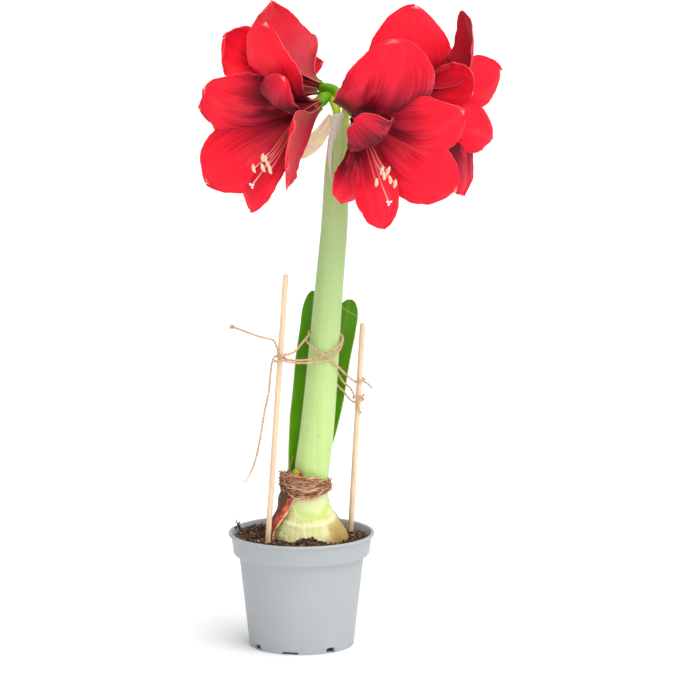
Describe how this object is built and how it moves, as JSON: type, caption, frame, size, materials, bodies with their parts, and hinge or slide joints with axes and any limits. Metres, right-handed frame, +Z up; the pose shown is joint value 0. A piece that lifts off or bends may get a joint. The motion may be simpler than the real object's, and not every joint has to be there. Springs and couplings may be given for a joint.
{
  "type": "potted amaryllis in flower",
  "caption": "Potted amaryllis with red trumpet blooms on one thick stem, strap leaves and sticks tied on with twine.",
  "frame": {"origin": "centre of the pot's base, on the ground", "axes": "+Z up along the pot's axis and the stem, -Y towards the front, +X to the right"},
  "size_m": [0.2666, 0.1941, 0.5739],
  "materials": {
    "pot": "satin",
    "soil": "rough",
    "bulb_flesh": "satin",
    "bulb_skin": "matt, papery",
    "torn_scale": "satin",
    "stem": "satin",
    "leaf": "satin",
    "spathe": "matt, papery",
    "petal": "velvety",
    "stamen": "matt",
    "stick": "bare",
    "twine": "coarse"
  },
  "bodies": {
    "root": {"pot": "pot", "soil": "soil", "bulb_flesh": "bulb_flesh", "bulb_skin": "bulb_skin", "bulb_torn_scale": "torn_scale", "scape": "stem", "leaf_left": "leaf", "leaf_right": "leaf", "spathe_broad": "spathe", "spathe_narrow": "spathe", "bloom_1": "petal", "bloom_2": "petal", "bloom_3": "petal", "bloom_4": "petal", "stamens_1": "stamen", "stamens_2": "stamen", "stamens_3": "stamen", "stamens_4": "stamen", "stick_left": "stick", "stick_right": "stick", "twine_tie": "twine", "twine_tail_long": "twine", "twine_tail_short": "twine"}
  },
  "joints": []
}
